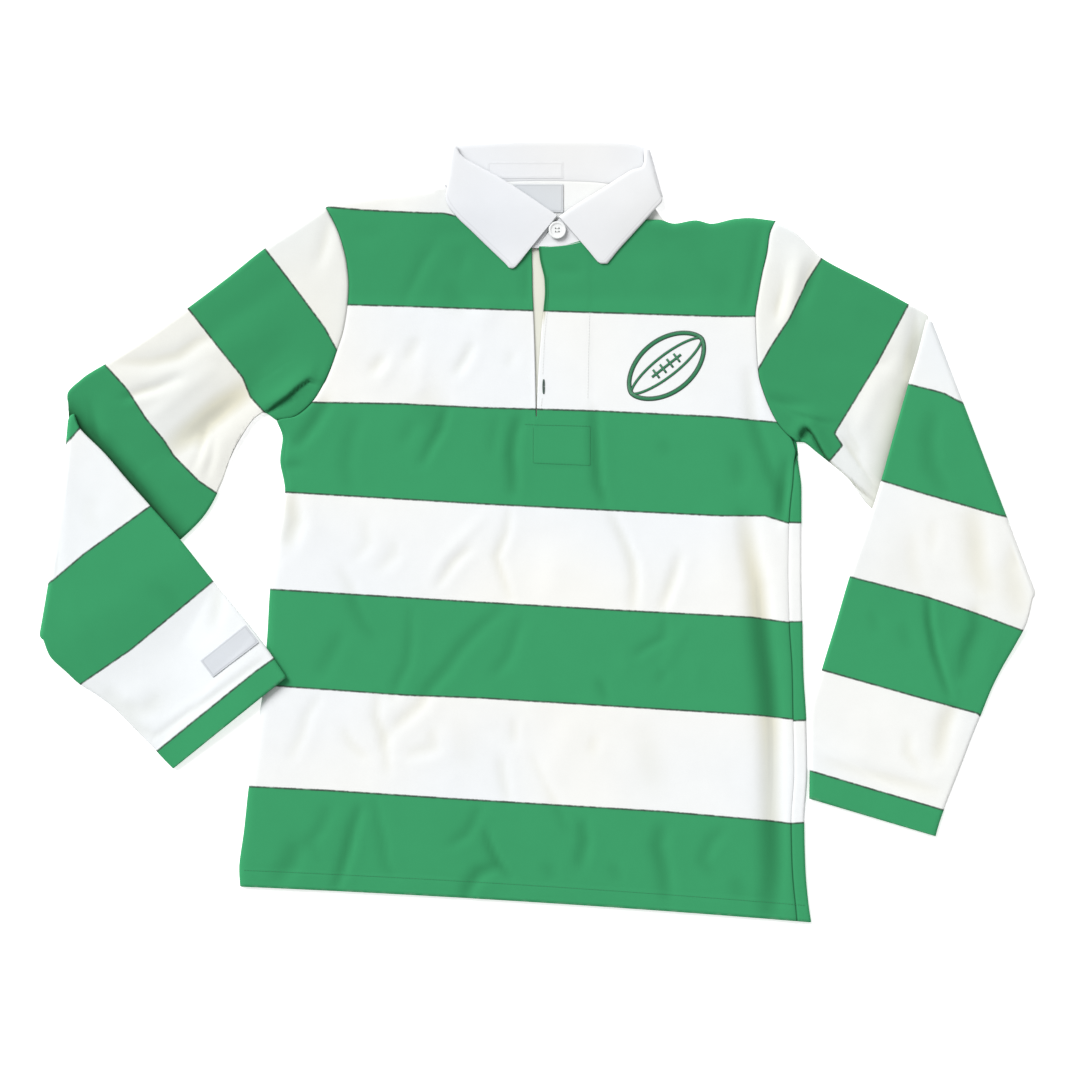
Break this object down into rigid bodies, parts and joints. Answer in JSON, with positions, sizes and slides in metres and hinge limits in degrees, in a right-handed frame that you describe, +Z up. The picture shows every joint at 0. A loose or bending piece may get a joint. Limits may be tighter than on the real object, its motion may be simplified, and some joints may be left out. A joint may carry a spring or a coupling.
{
  "type": "rugby shirt",
  "caption": "Long-sleeved rugby shirt with broad hoops and a white collar, laid flat with both forearms folded over.",
  "frame": {"origin": "on the surface the shirt lies on, under the middle of its laid outline", "axes": "+Z up out of the shirt's front, +Y from the hem to the collar, +X towards the wearer's left sleeve"},
  "size_m": [1.0311, 0.8084, 0.0117],
  "materials": {
    "jersey": "matte heavy cotton jersey in green and white hoops",
    "collar_twill": "white cotton twill",
    "placket_twill": "cream cotton twill",
    "button": "semi-gloss white",
    "label": "pale woven satin tape"
  },
  "bodies": {
    "root": {"body_back": "jersey", "body_front": "jersey", "sleeve_right": "jersey", "sleeve_left": "jersey", "collar_leaf": "collar_twill", "collar_stand": "collar_twill", "placket_underlap": "placket_twill", "neck_button": "button", "neck_tape": "collar_twill", "neck_label": "label", "sleeve_label": "label"}
  },
  "joints": []
}
